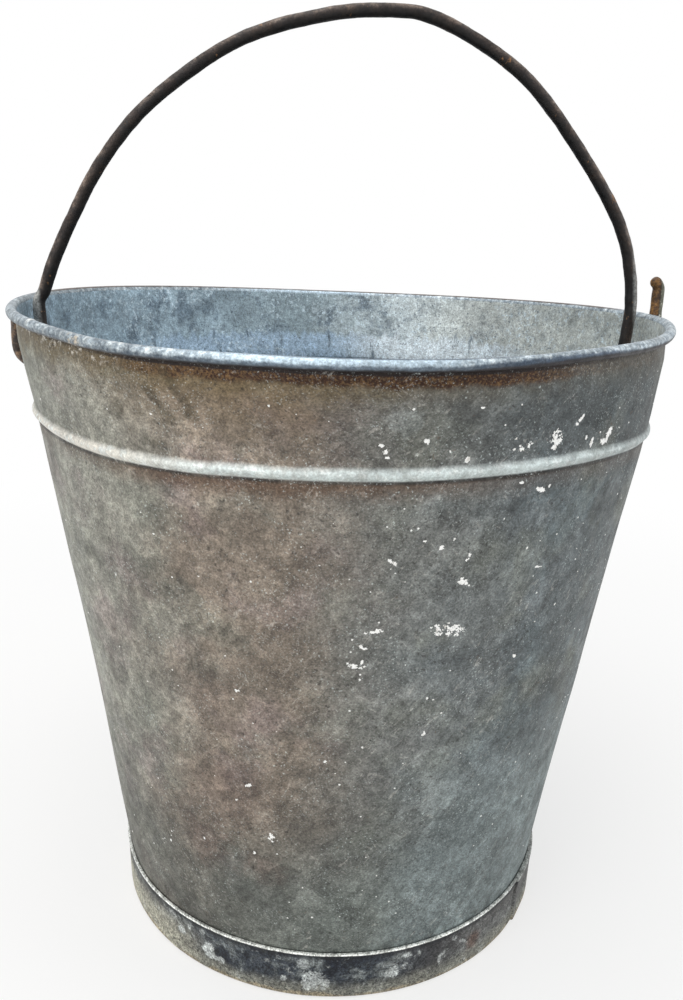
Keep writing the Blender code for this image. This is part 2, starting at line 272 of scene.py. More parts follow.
class Recipe:
    def __init__(self, name, metallic, specular=0.5, worn=False):
        self.material = bpy.data.materials.new(name)
        self.material.use_nodes = True
        self.tree = self.material.node_tree
        self.shader = self.tree.nodes["Principled BSDF"]
        self.shader.inputs["Metallic"].default_value = metallic
        self.shader.inputs["Specular IOR Level"].default_value = specular
        if worn:
            kept = self.node("ShaderNodeAttribute")
            kept.attribute_name = "newPlace"
            self.place = kept.outputs["Vector"]
        else:
            self.place = self.node("ShaderNodeTexCoord").outputs["Object"]
        parts = self.node("ShaderNodeSeparateXYZ")
        self.join(self.place, parts.inputs[0])
        self.x, self.y, self.z = parts.outputs
        self.wobble = None

    def node(self, kind):
        return self.tree.nodes.new(kind)

    def join(self, value, socket):
        if hasattr(value, "is_linked"):
            self.tree.links.new(value, socket)
        else:
            socket.default_value = value

    def math(self, operation, a, b=0.0, c=0.0):
        n = self.node("ShaderNodeMath")
        n.operation = operation
        for value, socket in zip((a, b, c), n.inputs):
            self.join(value, socket)
        return n.outputs[0]

    def vectors(self, operation, *values):
        n = self.node("ShaderNodeVectorMath")
        n.operation = operation
        for value, socket in zip(values, n.inputs):
            self.join(value, socket)
        return n

    def times(self, first, *others):
        for value in others:
            first = self.math("MULTIPLY", first, value)
        return first

    # Distance from the bucket's axis
    def reach(self):
        return self.math("SQRT", self.math("ADD", self.times(self.x, self.x), self.times(self.y, self.y)))

    # A noise that swings evenly about nought
    def swing(self, *values, **named):
        return self.math("SUBTRACT", self.noise(*values, **named), 0.5)

    # base + value * share
    def plus(self, base, value, share):
        return self.math("MULTIPLY_ADD", value, share, base)

    # Paint laid over the color, as thickly as the amounts say when multiplied
    def cover(self, color, paint, *amounts):
        return self.mix(self.times(*amounts), color, paint)

    # Place with its own scale round the wall and up it, leaning by so many degrees
    def stretch(self, across, along, lean=0.0):
        n = self.node("ShaderNodeMapping")
        n.vector_type = "TEXTURE"
        self.join(self.place, n.inputs["Vector"])
        n.inputs["Rotation"].default_value = (0, math.radians(lean), 0)
        n.inputs["Scale"].default_value = (1 / across, 1 / across, 1 / along)
        return n.outputs[0]

    # Place pushed about, for ragged edges
    def ruffle(self, scale, reach, detail=3.0):
        n = self.node("ShaderNodeTexNoise")
        self.join(self.place, n.inputs["Vector"])
        n.inputs["Scale"].default_value = scale
        n.inputs["Detail"].default_value = detail
        return self.vectors("MULTIPLY_ADD", n.outputs["Color"], (reach, reach, reach), self.place).outputs[0]

    def noise(self, scale, detail=4.0, rough=0.55, bend=0.0, place=None, seed=0.0):
        n = self.node("ShaderNodeTexNoise")
        n.noise_dimensions = "4D"
        self.join(place or self.place, n.inputs["Vector"])
        n.inputs["W"].default_value = seed
        n.inputs["Scale"].default_value = scale
        n.inputs["Detail"].default_value = detail
        n.inputs["Roughness"].default_value = rough
        n.inputs["Distortion"].default_value = bend
        return n.outputs["Fac"]

    def cells(self, scale, output="Distance", place=None):
        n = self.node("ShaderNodeTexVoronoi")
        self.join(place or self.place, n.inputs["Vector"])
        n.inputs["Scale"].default_value = scale
        return n.outputs[output]

    # One random number for each cell
    def patches(self, scale, place=None):
        n = self.node("ShaderNodeSeparateColor")
        self.join(self.cells(scale, "Color", place), n.inputs[0])
        return n.outputs[0]

    # Smooth step as the value goes from low to high
    def window(self, value, low, high, out=(0.0, 1.0)):
        n = self.node("ShaderNodeMapRange")
        n.interpolation_type = "SMOOTHSTEP"
        self.join(value, n.inputs["Value"])
        n.inputs["From Min"].default_value = low
        n.inputs["From Max"].default_value = high
        n.inputs["To Min"].default_value = out[0]
        n.inputs["To Max"].default_value = out[1]
        return n.outputs["Result"]

    def ramp(self, value, *stops):
        n = self.node("ShaderNodeValToRGB")
        self.join(value, n.inputs[0])
        while len(n.color_ramp.elements) < len(stops):
            n.color_ramp.elements.new(0.5)
        for element, (place, color) in zip(n.color_ramp.elements, stops):
            element.position = place
            element.color = color
        return n.outputs[0]

    def mix(self, amount, a, b):
        n = self.node("ShaderNodeMix")
        n.data_type = "RGBA"
        self.join(amount, n.inputs[0])
        self.join(a, n.inputs[6])
        self.join(b, n.inputs[7])
        return n.outputs[2]

    # Color made lighter or darker by a grey factor
    def shade(self, color, factor):
        n = self.vectors("SCALE", color)
        self.join(factor, n.inputs["Scale"])
        return n.outputs[0]

    # Color varied by a noise, by this share up and down
    def vary(self, color, value, share, half=0.18):
        return self.shade(color, self.window(value, 0.5 - half, 0.5 + half, (1 - share, 1 + share)))

    # Fine and middling grain of old metal
    def grain(self, color, strength=1.0):
        for scale, share, seed in ((1250, 0.27, 1.0), (520, 0.17, 2.0), (190, 0.12, 3.0)):
            color = self.vary(color, self.noise(scale, 2, 0.6, seed=seed), share * strength)
        return color

    # Small sharp marks, gathered in places
    def flecks(self, scale, size, amount, gather, seed):
        dots = self.window(self.cells(scale, place=self.ruffle(scale * 2, 1.2 / scale)), size, size * 0.6)
        where = self.window(self.noise(48, 3, seed=seed), gather, gather + 0.10)
        return self.times(dots, where, amount)

    # A soft round patch on the wall; size is its radius
    def spot(self, angle, height, size, edge=0.35, blur=0.0, radius=None):
        r = wallRadius(height) if radius is None else radius
        a = math.radians(angle)
        middle = (r * math.cos(a), r * math.sin(a), height)
        away = self.vectors("DISTANCE", self.place, middle).outputs["Value"]
        if blur:
            # One noise serves every patch of a material
            if self.wobble is None:
                self.wobble = self.math("SUBTRACT", self.noise(150, 5, 0.65), 0.5)
            away = self.math("MULTIPLY_ADD", self.wobble, blur, away)
        return self.window(away, size, size * edge)

    def finish(self, color, roughness, height=None, depth=0.0003):
        self.join(color, self.shader.inputs["Base Color"])
        self.join(roughness, self.shader.inputs["Roughness"])
        if height is not None:
            n = self.node("ShaderNodeBump")
            n.inputs["Strength"].default_value = 1.0
            n.inputs["Distance"].default_value = depth
            self.join(height, n.inputs["Height"])
            self.join(n.outputs[0], self.shader.inputs["Normal"])
        return self.material


zincLook = {
    "metallic": 0.5,
    # across the front: place from 0 at the left to 1 at the right, and the colour there
    "across": ((0.0, tone(138, 139, 130)), (0.05, tone(138, 136, 127)), (0.16, tone(138, 127, 115)),
               (0.33, tone(127, 117, 106)), (0.47, tone(117, 116, 111)), (0.66, tone(117, 120, 118)),
               (0.79, tone(96, 102, 104)), (1.0, tone(82, 88, 89))),
    "lowTeal": tone(120, 130, 131),
    "lowGrey": tone(103, 110, 106),
    "olive": tone(106, 92, 64),
    "plum": tone(122, 108, 108),
    "moss": tone(115, 118, 109),
    "teal": tone(94, 106, 110),
    "rust": tone(52, 30, 18),
    "ochre": tone(112, 86, 54),
    "umber": tone(96, 74, 58),
    "shadowLine": tone(30, 22, 22),
    "pale": tone(210, 220, 219),
    "cream": tone(226, 222, 213),
    "white": tone(238, 244, 242),
    # dark marks, and the painted shade under the bead
    "sootAndShade": tone(46, 43, 41),
    "smear": tone(66, 60, 46),
    "haze": tone(112, 94, 66),
    "stain": tone(102, 87, 80),
    # angle, height, size, strength
    "stains": ((244, 0.110, 0.030, 0.45), (238, 0.078, 0.018, 0.6), (251, 0.072, 0.014, 0.5),
               (241, 0.157, 0.026, 0.4)),
    # lean, seed, colour, strength
    "hairs": ((38, 41.0, "cream", 0.24), (-50, 42.0, "cream", 0.18), (24, 43.0, "sootAndShade", 0.30)),
    # cells to a metre, size, strength, how gathered, seed, colour
    "flecks": ((330, 0.25, 0.55, 0.44, 7.0, "sootAndShade"), (620, 0.24, 0.45, 0.47, 13.0, "pale"),
               (980, 0.32, 0.17, 0.42, 51.0, "pale"), (860, 0.32, 0.26, 0.42, 52.0, "sootAndShade")),
    # angle, height, turn, drop, width, strength
    "smears": ((239.8, 0.2795, 3.4, 0.0125, 0.0024, 0.36), (243.2, 0.2842, 3.8, 0.0175, 0.0027, 0.40),
               (232.3, 0.2750, 0.8, 0.0060, 0.0030, 0.09), (238.0, 0.2632, 3.0, 0.0010, 0.0024, 0.12)),
}


def zincOutside():
    look = zincLook
    m = Recipe("weatheredZincOutside", look["metallic"], worn=True)
    front = m.window(m.y, 0.03, -0.04)
    # Warm at the left and cool at the right, with patches of plum, moss and teal. The darkening towards the
    # right side is partly the zinc's own tone and partly painted shade
    drift = m.swing(13, 6, 0.62)
    across = m.plus(m.x, drift, 0.10)
    color = m.ramp(m.window(across, -0.13, 0.13), *look["across"])
    left = m.window(m.x, 0.05, -0.06)
    right = m.window(m.x, -0.02, 0.07)
    for seed, scale, hue, amount, side in (
            (3.0, 24, "plum", 0.55, left), (5.0, 30, "moss", 0.50, 1.0), (8.0, 34, "teal", 0.5, right)):
        patch = m.window(m.noise(scale, 6, 0.62, 0.3, seed=seed), 0.49, 0.66)
        color = m.cover(color, look[hue], patch, amount, side)
    # Above the bead the wall is darker and more olive; low down it darkens at the left
    above = m.window(m.z, bucket["beadHeight"] - 0.002, bucket["beadHeight"] + 0.006)
    darker = m.times(above, m.window(m.x, -0.12, 0.05, (-0.06, 0.24)))
    color = m.shade(color, m.math("SUBTRACT", 1.0, darker))
    low = m.times(m.window(m.z, 0.15, 0.04), m.window(m.x, 0.08, -0.06))
    color = m.shade(color, m.window(low, 0, 1, (1.0, 0.60)))
    plain = m.times(m.window(m.plus(m.z, drift, 0.05), 0.110, 0.050), m.window(m.x, -0.11, -0.03))
    color = m.cover(color, look["lowGrey"], plain, 0.75)
    bluish = m.times(m.window(m.plus(m.z, drift, 0.06), 0.16, 0.08), m.window(across, -0.002, 0.035))
    color = m.cover(color, look["lowTeal"], bluish, 0.85)
    # Brown stains low at the front left
    for angle, height, size, amount in look["stains"]:
        color = m.cover(color, look["stain"], m.spot(angle, height, size, 0.1, 0.035), amount)
    # Spangle with broken edges, clouds, strokes left by wiping, runs
    ragged = m.ruffle(160, 0.006)
    color = m.vary(color, m.patches(72, ragged), 0.13, 0.5)
    color = m.vary(color, m.patches(190, m.ruffle(400, 0.0035)), 0.14, 0.5)
    color = m.vary(color, m.noise(95, 5, 0.7, 0.9, seed=31.0), 0.13, 0.15)
    clouds = m.noise(40, 7, 0.68, 0.4)
    color = m.vary(color, clouds, 0.16, 0.2)
    strokes = m.noise(120, 4, 0.6, 0.2, m.stretch(1.6, 0.3, 38), 4.0)
    color = m.vary(color, strokes, 0.15)
    runs = m.noise(60, 5, 0.6, 0.1, m.stretch(1.0, 0.16))
    color = m.vary(color, runs, 0.09)
    # The rust and dirt that lie under the roll, brightest in the middle of the front, and a painted shadow
    # line right under the roll
    below = m.math("SUBTRACT", rollHeight, m.z)
    uneven = m.swing(75, 6, 0.7, 0.3)
    middle = m.times(m.window(m.x, -0.110, -0.070), m.window(m.x, 0.100, 0.045), front)
    haze = m.times(m.window(m.plus(below, uneven, 0.030), 0.036, 0.012), front)
    haze = m.times(haze, m.window(m.x, -0.11, -0.07), m.window(m.x, 0.01, -0.03))
    color = m.cover(color, look["haze"], haze, 0.50)
    brown = m.window(m.plus(below, uneven, 0.020), 0.019, 0.0045)
    brown = m.times(brown, m.window(m.x, 0.045, -0.02, (0.25, 0.8)), m.window(front, 0, 1, (0.5, 1.0)))
    color = m.mix(brown, color, look["olive"])
    band = m.window(m.plus(below, uneven, 0.009), 0.0096, 0.0066)
    band = m.times(band, m.window(middle, 0, 1, (0.22, 1.0)), m.window(m.x, -0.105, -0.055, (0.55, 1.0)))
    speckled = m.math("ADD", m.noise(1000, 3, 0.7), m.window(m.x, -0.03, -0.08, (0.0, 0.08)))
    speckled = m.window(speckled, 0.46, 0.62)
    rusty = m.mix(m.times(speckled, 0.72), look["rust"], look["ochre"])
    color = m.mix(band, color, rusty)
    # Painted shadow: a dark line right under the roll
    line = m.window(m.plus(below, uneven, 0.0012), 0.0042, 0.0035)
    color = m.cover(color, look["shadowLine"], line, m.window(middle, 0, 1, (0.45, 0.95)))
    crumbs = m.times(m.window(m.noise(380, 4, 0.7, seed=6.0), 0.54, 0.62), m.window(below, 0.009, 0.004))
    crumbs = m.times(crumbs, m.window(m.x, -0.080, -0.100), front)
    color = m.cover(color, look["cream"], crumbs, 0.7)
    # A dark line of painted shade in the corner under the bead, and rust there
    bead = m.math("SUBTRACT", m.z, bucket["beadHeight"])
    underBeadShade = m.times(m.window(bead, -0.0019, -0.0028), m.window(bead, -0.0048, -0.0036))
    broken = m.window(m.noise(60, 3, seed=22.0), 0.35, 0.55, (0.6, 0.95))
    color = m.cover(color, look["sootAndShade"], underBeadShade, broken)
    stain = m.window(bead, -0.0030, -0.0044)
    stain = m.times(stain, m.window(m.plus(bead, uneven, 0.012), -0.0125, -0.0050))
    stain = m.times(stain, m.window(m.x, 0.060, 0.0, (0.25, 0.75)), m.window(m.x, -0.12, -0.07, (0.4, 1.0)))
    color = m.mix(stain, color, look["umber"])
    # Two dark smears and a pale bare patch above the bead
    for angle, height, turn, drop, width, strength in look["smears"]:
        for step in (-0.5, -0.36, -0.22, -0.07, 0.07, 0.22, 0.36, 0.5):
            size = width * (1.15 + step * 0.4)
            smear = m.spot(angle + step * turn, height - step * drop, size, 0.5, 0.003)
            color = m.cover(color, look["smear"], smear, strength)
    bare = m.spot(274, 0.2775, 0.0075, 0.7, 0.016)
    color = m.cover(color, look["pale"], bare, 0.13)
    # Pits, specks and the grain itself, then the bead's top painted bright along its length: partly rubbed
    # wear, partly a painted highlight
    for scale, size, amount, gather, seed, hue in look["flecks"]:
        color = m.cover(color, look[hue], m.flecks(scale, size, amount, gather, seed))
    for lean, seed, hue, amount in look["hairs"]:
        hairs = m.window(m.noise(330, 3, 0.6, 0.8, m.stretch(1.7, 0.45, lean), seed), 0.60, 0.68)
        where = m.window(m.noise(34, 4, seed=seed + 5), 0.42, 0.58)
        color = m.cover(color, look[hue], hairs, where, amount)
    color = m.cover(color, look["umber"], m.flecks(190, 0.12, 0.6, 0.50, 17.0))
    # Painted highlight, with some wear, along the bead's top
    wearAndHighlight = m.window(bead, -0.0028, -0.0018)
    wearAndHighlight = m.times(wearAndHighlight, m.window(m.plus(bead, uneven, 0.002), 0.0034, 0.0008))
    wearAndHighlight = m.times(wearAndHighlight, m.window(m.noise(110, 5, 0.7, seed=21.0), 0.34, 0.54, (0.65, 1.0)))
    wearAndHighlight = m.times(wearAndHighlight, m.window(m.noise(300, 5, 0.7, seed=23.0), 0.36, 0.56, (0.72, 1.0)))
    wearAndHighlight = m.times(wearAndHighlight, m.window(m.x, 0.02, 0.11, (0.97, 0.60)))
    shine = m.mix(m.window(m.x, -0.05, -0.10), look["pale"], look["cream"])
    brightest = m.window(m.noise(210, 5, 0.75, seed=25.0), 0.50, 0.60, (0.0, 0.8))
    shine = m.mix(brightest, shine, look["white"])
    color = m.mix(wearAndHighlight, m.grain(color), m.grain(shine, 0.5))
    roughness = m.window(m.noise(120, 5), 0.3, 0.7, (0.42, 0.62))
    height = m.math("ADD", m.noise(620, 4, 0.7), m.math("MULTIPLY", clouds, 1.5))
    return m.finish(color, roughness, height, 0.00020)


insideLook = {
    "left": tone(144, 163, 175),
    "middle": tone(141, 157, 164),
    "right": tone(186, 196, 199),
    "farRight": tone(186, 190, 185),
    "deepBlue": tone(82, 98, 112),
    "blueBand": tone(158, 180, 200),
    "whiteBand": tone(206, 216, 222),
    "frost": tone(206, 222, 232),
    "silt": tone(92, 86, 76),
}


def zincInside():
    look = insideLook
    m = Recipe("weatheredZincInside", 0.5, worn=True)
    drift = m.swing(18, 5, 0.6)
    across = m.plus(m.x, drift, 0.09)
    color = m.ramp(m.window(across, -0.14, 0.14), (0.0, look["left"]), (0.45, look["middle"]),
                   (0.76, look["right"]), (1.0, look["farRight"]))
    clouds = m.noise(45, 7, 0.7, 0.4)
    color = m.vary(color, clouds, 0.26, 0.2)
    # Blue-black blotches above, a pale streaky band below
    blotch = m.window(m.noise(58, 6, 0.68, 0.3, seed=5.0), 0.50, 0.62)
    color = m.cover(color, look["deepBlue"], blotch, m.window(m.x, 0.09, 0.02, (0.25, 0.7)))
    drips = m.noise(210, 4, 0.62, 0.1, m.stretch(1.0, 0.09), 2.0)
    edge = m.plus(m.z, m.math("SUBTRACT", drips, 0.5), 0.022)
    fade = m.window(edge, 0.14, 0.24, (0.25, 1.0))
    lower = m.times(fade, m.window(edge, 0.2755, 0.2715), m.window(m.x, 0.125, 0.095))
    lower = m.times(lower, m.window(m.x, -0.125, -0.085))
    streaky = m.window(drips, 0.30, 0.50, (0.45, 0.95))
    bandTone = m.mix(m.window(m.x, 0.0, 0.045), look["blueBand"], look["whiteBand"])
    color = m.cover(color, bandTone, lower, streaky)
    color = m.cover(color, look["deepBlue"], lower, m.window(drips, 0.42, 0.34), 0.75)
    frost = m.window(m.noise(420, 4, 0.72, seed=8.0), 0.52, 0.62)
    color = m.cover(color, look["frost"], frost, m.window(m.noise(36, 4, seed=9.0), 0.40, 0.56), 0.6)
    color = m.cover(color, look["deepBlue"], m.flecks(420, 0.26, 0.7, 0.44, 10.0))
    deep = m.window(m.plus(m.z, m.swing(20, 5), 0.12), 0.13, 0.02)
    color = m.cover(color, look["silt"], deep, 0.6)
    color = m.grain(color)
    roughness = m.window(m.noise(100, 5), 0.3, 0.7, (0.45, 0.65))
    return m.finish(color, roughness, m.math("ADD", m.noise(560, 4, 0.7), clouds), 0.00020)


rollLook = {
    "dark": tone(98, 110, 120),
    "middle": tone(156, 168, 176),
    "light": tone(212, 220, 222),
    # painted highlight across the middle of the roll's front
    "wearAndHighlight": tone(186, 206, 220),
    "blueShade": tone(42, 56, 74),
    "underside": tone(44, 38, 38),
    "crust": tone(204, 192, 172),
    "brown": tone(84, 66, 54),
    "joint": tone(228, 231, 229),
    # angle and size of the wire's joint mark and of two scrapes beside it
    "marks": ((bucket["jointAngle"], 0.0026), (234.2, 0.0016), (235.4, 0.0018)),
}


def zincRoll():
    look = rollLook
    m = Recipe("rubbedAndLitZincRoll", 0.5, worn=True)
    grain = m.noise(430, 5, 0.7, 0.3)
    color = m.ramp(grain, (0.34, look["dark"]), (0.50, look["middle"]), (0.66, look["light"]))
    color = m.vary(color, m.noise(150, 5, 0.65, seed=5.0), 0.22)
    color = m.vary(color, m.noise(30, 4), 0.14)
    under = m.math("SUBTRACT", rollHeight, m.z)
    front = m.window(m.y, -0.01, -0.05)
    # Painted shade: dark blue along its lower side, widest at the front right
    bluer = m.times(m.window(m.x, 0.025, 0.055), m.window(m.x, 0.105, 0.085))
    rough = m.plus(under, m.swing(260, 5, 0.75, seed=3.0), 0.0030)
    reach = m.plus(rough, bluer, 0.0012)
    blue = m.times(m.window(reach, -0.0005, 0.0006), m.window(bluer, 0, 1, (0.72, 0.9)), front)
    blue = m.times(blue, m.window(m.x, -0.105, -0.06, (0.45, 1.0)))
    color = m.shade(color, m.window(m.x, -0.06, -0.12, (1.0, 0.82)))
    # A painted highlight across the middle of the front
    middle = m.times(m.window(m.x, -0.075, -0.035), m.window(m.x, 0.045, 0.01))
    color = m.cover(color, look["wearAndHighlight"], middle, 0.65)
    color = m.mix(blue, color, look["blueShade"])
    # Painted shadow along the top of the roll at the front, in the gap to the inside wall
    topLine = m.times(m.window(under, -0.00185, -0.00208), m.window(m.y, 0.0, -0.08))
    topLine = m.times(topLine, m.window(m.x, -0.06, 0.0))
    color = m.cover(color, look["blueShade"], topLine, m.window(m.x, 0.06, 0.03), 0.7)
    # Painted shade on the roll's underside, reaching higher towards the right
    shifted = m.math("ADD", under, m.window(m.x, 0.02, 0.075, (0.0, 0.0010)))
    shifted = m.plus(shifted, m.swing(130, 4), 0.0016)
    color = m.mix(m.window(shifted, 0.0007, 0.0019, (0.0, 0.9)), color, look["underside"])
    # Crust and scratches at the front left, brown along the far edge
    crust = m.window(m.noise(420, 5, 0.7, seed=11.0), 0.50, 0.58)
    crust = m.times(crust, m.spot(226.5, rollHeight, 0.006, 0.4, 0.004, rollCenter))
    color = m.cover(color, look["crust"], crust, 0.85)
    far = m.times(m.window(m.y, 0.0, 0.05), m.window(m.noise(60, 4, seed=12.0), 0.30, 0.50, (0.5, 1.0)))
    color = m.cover(color, look["brown"], far, m.window(under, -0.0013, -0.0018), 0.85)
    for angle, size in look["marks"]:
        mark = m.spot(angle, rollHeight + 0.0012, size, 0.5, 0.0012, rollCenter)
        color = m.cover(color, look["joint"], mark, 0.85)
    color = m.grain(color, 0.9)
    roughness = m.window(m.noise(160, 5), 0.3, 0.7, (0.34, 0.55))
    return m.finish(color, roughness, m.noise(480, 5, 0.7), 0.00024)


# Closed outline of the sheet, the slot of each stretch, and which points are inner face or curl
def bodyOutline():
    b = bucket
    fold = b["sheet"] * 1.5 + b["hemPlay"] + b["bottomSheet"] * 0.5
    start = b["lift"] + b["sheet"] + fold
    heights = [start]
    beadLow = b["beadHeight"] - b["beadHalf"]
    rows = int((beadLow - start) / b["rowStep"])
    heights += [start + (beadLow - start) * i / rows for i in range(1, rows)]
    heights += [beadLow + 2 * b["beadHalf"] * i / 14 for i in range(15)]
    top = rollHeight - 0.0024
    beadTop = b["beadHeight"] + b["beadHalf"]
    heights += [beadTop + (top - beadTop) * i / 8 for i in range(1, 9)]
    outside = []
    for z in heights:
        away = abs(z - b["beadHeight"]) / b["beadHalf"]
        swell = b["beadDepth"] * (0.5 + 0.5 * math.cos(math.pi * min(away, 1.0))) ** 0.8
        outside.append((wallRadius(z) + swell, z))
    inside = [(radius - b["sheet"], z) for radius, z in outside]
    foldCenter = (wallRadius(start) - fold, start)
    innerFold = fold - b["sheet"]
    hemTop = start + b["hemHeight"]
    lean = taper * b["hemHeight"]
    hem = [(foldCenter[0] - fold + lean, hemTop), (foldCenter[0] - innerFold + lean, hemTop)]
    under = arc(foldCenter, fold, 0, -180, 8)[1:]
    over = arc(foldCenter, innerFold, -180, 0, 6)[:-1]
    center = (rollCenter, rollHeight)
    curlOut = arc(center, b["rollRadius"], 180, b["curlEnd"], 28)
    curlIn = arc(center, b["rollRadius"] - b["sheet"], b["curlEnd"], 180, 12)
    outline = over + inside + curlOut + curlIn + outside[::-1] + under + hem
    slots = [0] * len(over) + [1] * len(inside) + [2] * (len(curlOut) + len(curlIn))
    slots += [0] * (len(outside) + len(under) + len(hem))
    first = len(over)
    innerPoints = range(first + 1, first + len(inside) - 2)
    curlPoints = range(first + len(inside), first + len(inside) + len(curlOut))
    return outline, slots, set(innerPoints), set(curlPoints)


def makeBody(materials):
    outline, slots, innerPoints, curlPoints = bodyOutline()
    half = math.degrees(bucket["seamWidth"] / 2 / rimRadius)
    joint = bucket["jointAngle"]
    extra = [joint - 0.5, joint - 0.2, joint, joint + 0.2, joint + 0.5]
    for seam in (0, 180):
        extra += [seam - half - 0.25, seam - half, seam + half, seam + half + 0.25]

    def change(index, angle, radius, z):
        seamAway = min(abs(angleGap(angle, 0)), abs(angleGap(angle, 180)))
        if index in innerPoints and seamAway <= half * 1.01:
            radius -= bucket["seamLift"]
        if index in curlPoints and abs(angleGap(angle, joint)) < 0.3:
            grow = 1 + bucket["jointSwell"] / bucket["rollRadius"]
            radius = rollCenter + (radius - rollCenter) * grow
            z = rollHeight + (z - rollHeight) * grow
        return radius, z

    mesh = revolve(outline, evenAngles(bucket["aroundSteps"], extra), change, slots)
    body = finishMesh("bucketBody", mesh, materials, "bucket", 45)
    cutBailHoles(body)
    wearDown(body)
    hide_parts("bucket_body")


# Drills both holes for the bail and leaves a plain mesh
def cutBailHoles(body):
    turn = Matrix.Rotation(math.pi / 2, 4, "Y")
    lift = Matrix.Translation((0, 0, bucket["holeHeight"]))
    drill = bmesh.new()
    bmesh.ops.create_cone(drill, cap_ends=True, segments=32, radius1=bucket["holeRadius"],
                          radius2=bucket["holeRadius"], depth=2 * rimRadius + 0.02, matrix=lift @ turn)
    data = bpy.data.meshes.new("drill")
    drill.to_mesh(data)
    drill.free()
    cutter = bpy.data.objects.new("drill", data)
    bpy.context.collection.objects.link(cutter)
    cut = body.modifiers.new("holes", "BOOLEAN")
    cut.operation = "DIFFERENCE"
    cut.solver = "EXACT"
    cut.object = cutter
    seen = body.evaluated_get(bpy.context.evaluated_depsgraph_get())
    done = bpy.data.meshes.new_from_object(seen)
    body.modifiers.clear()
    body.data = done
    bpy.data.objects.remove(cutter)


# The steel wire inside the roll
rimWire = {
    "play": 0.00005,
    "gap": 0.0006,
    "sides": 12,
    "aroundSteps": 240,
    "dark": tone(96, 84, 74),
    "light": tone(138, 132, 126),
}


def makeRimWire():
    w = rimWire
    m = Recipe("rimWireSteel", 0.8, worn=True)
    color = m.ramp(m.noise(200, 4), (0.3, w["dark"]), (0.7, w["light"]))
    steel = m.finish(color, m.window(m.noise(300, 3), 0.3, 0.7, (0.4, 0.6)), m.noise(500, 3), 0.0001)
    radius = bucket["rollRadius"] - bucket["sheet"] - w["play"]
    outline = arc((rollCenter, rollHeight), radius, 0, 360, w["sides"])[:-1]
    start = bucket["jointAngle"] + math.degrees(w["gap"] / 2 / rollCenter)
    sweep = 360 - math.degrees(w["gap"] / rollCenter)
    angles = [start + sweep * i / w["aroundSteps"] for i in range(w["aroundSteps"] + 1)]
    piece = finishMesh("rimWire", revolve(outline, angles, openRing=True), [steel], "bucket", 60)
    wearDown(piece)
    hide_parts("rim_wire")


# Foot ring
footRing = {
    "thickness": 0.0011,
    "draft": 0.0008,
    "turn": 0.0045,
    "bend": 0.0018,
    "lip": 0.00030,                # the upper edge stands out a little; its bright line is a painted highlight
    "lapAngle": -36.5,
    "lapFade": 34,
    "aroundSteps": 320,
    "dark": tone(18, 22, 34),
    "middle": tone(60, 66, 73),
    "light": tone(130, 136, 136),
    "grey": tone(118, 116, 112),
    "lowPale": tone(142, 142, 132),
    "leftPale": tone(176, 174, 160),
    "rust": tone(128, 84, 60),
    "scuff": tone(196, 201, 200),
    "smallScuff": tone(186, 190, 188),
    "ochre": tone(160, 148, 124),
    "pit": tone(34, 32, 34),
    # painted shade and dirt just under the lip
    "underLip": tone(26, 28, 34),
    # painted highlight on the lip's upper edge
    "wearAndHighlight": tone(240, 243, 238),
    # angle, height, size and strength of the pale scuffs
    "scuffs": (
        (226.5, 0.0135, 0.0032, 0.8), (229.5, 0.0190, 0.0022, 0.9), (233.5, 0.0205, 0.0020, 0.6),
        (235.0, 0.0110, 0.0048, 0.9), (238.5, 0.0090, 0.0034, 0.7), (251.5, 0.0180, 0.0020, 0.5),
        (255.5, 0.0095, 0.0030, 0.7), (262.5, 0.0095, 0.0070, 0.65), (260.0, 0.0190, 0.0040, 0.4),
        (281.0, 0.0120, 0.0040, 0.85), (284.5, 0.0150, 0.0030, 0.6), (285.0, 0.0205, 0.0030, 0.7),
        (272.0, 0.0170, 0.0012, 0.7), (298.0, 0.0205, 0.0025, 0.35),
    ),
}


